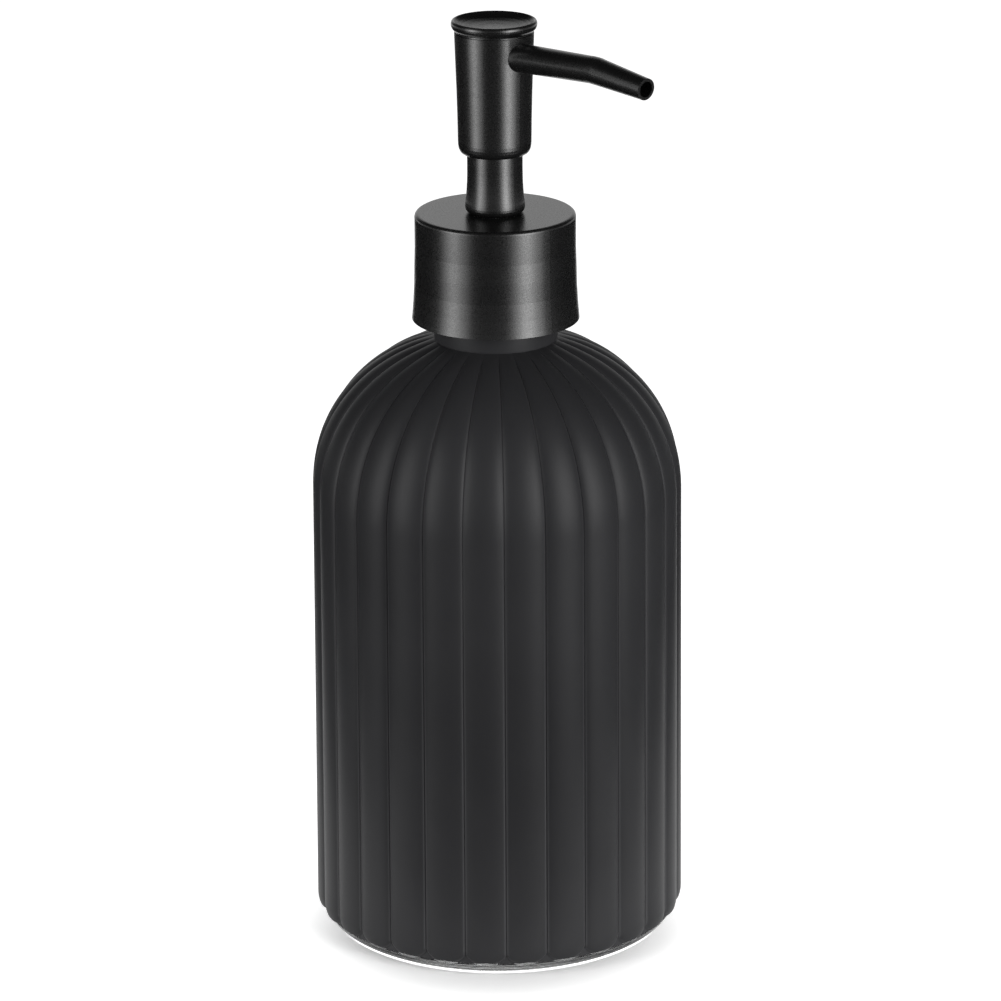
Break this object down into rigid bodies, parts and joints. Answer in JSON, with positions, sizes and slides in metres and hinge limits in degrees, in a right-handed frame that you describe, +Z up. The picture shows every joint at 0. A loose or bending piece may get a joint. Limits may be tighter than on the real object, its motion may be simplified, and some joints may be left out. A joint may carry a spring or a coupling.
{
  "type": "soap pump dispenser",
  "caption": "Countertop soap dispenser: ribbed dark glass bottle with a domed shoulder, a screw-on collar and a push-down pump head with an angled spout.",
  "frame": {"origin": "centre of the flat face the bottle stands on", "axes": "+Z up along the pump's axis; +X the way the spout points at rest"},
  "size_m": [0.0824, 0.0764, 0.1909],
  "materials": {
    "coated_glass": "glass with an opaque satin black coating; the foot band is bare clear glass",
    "satin_black": "satin black with a fine grain",
    "white_plastic": "moulded",
    "soft_seal": "soft moulded plastic",
    "gasket": "foam liner",
    "clear_tube": "clear tube",
    "spring_steel": "drawn wire",
    "ball_steel": "polished ball"
  },
  "bodies": {
    "bottle_body": {"bottle": "coated_glass"},
    "pump_body": {"neck_gasket": "gasket", "sleeve": "satin_black", "housing_retainer": "white_plastic", "pump_housing": "white_plastic", "spring_seat": "white_plastic", "dip_tube": "clear_tube", "return_spring": "spring_steel"},
    "collar_body": {"collar_shell": "satin_black", "closure": "white_plastic"},
    "piston_body": {"piston": "soft_seal"},
    "head_body": {"stem": "white_plastic", "stem_seat": "white_plastic", "head_core": "white_plastic", "head_shell": "satin_black", "head_cap": "satin_black", "spout": "satin_black"},
    "inlet_ball_body": {"inlet_ball": "ball_steel"},
    "outlet_ball_body": {"outlet_ball": "ball_steel"}
  },
  "joints": [
    {"name": "pump_lift", "type": "slide", "parent": "bottle_body", "child": "pump_body", "axis": [0, 0, 1], "range_m": [0, 0.01058]},
    {"name": "collar_turn", "type": "hinge", "parent": "pump_body", "child": "collar_body", "pos_m": [0, 0, 0.14], "axis": [0, 0, 1], "range_deg": [0, 900]},
    {"name": "head_press", "type": "slide", "parent": "pump_body", "child": "piston_body", "axis": [0, 0, 1], "range_m": [-0.0105, 0], "stiffness_N_per_m": 700, "springref_m": 0.012, "deforming": ["return_spring"]},
    {"name": "head_swivel", "type": "hinge", "parent": "piston_body", "child": "head_body", "pos_m": [0, 0, 0.17], "axis": [0, 0, 1], "continuous": true},
    {"name": "inlet_ball_lift", "type": "slide", "parent": "pump_body", "child": "inlet_ball_body", "axis": [0, 0, 1], "range_m": [0, 0.0023]},
    {"name": "outlet_ball_lift", "type": "slide", "parent": "head_body", "child": "outlet_ball_body", "axis": [0, 0, 1], "range_m": [0, 0.0019]}
  ],
  "couplings": [
    {"joint": "collar_turn", "follows": "pump_lift", "rad_per_m": 1484.3}
  ]
}
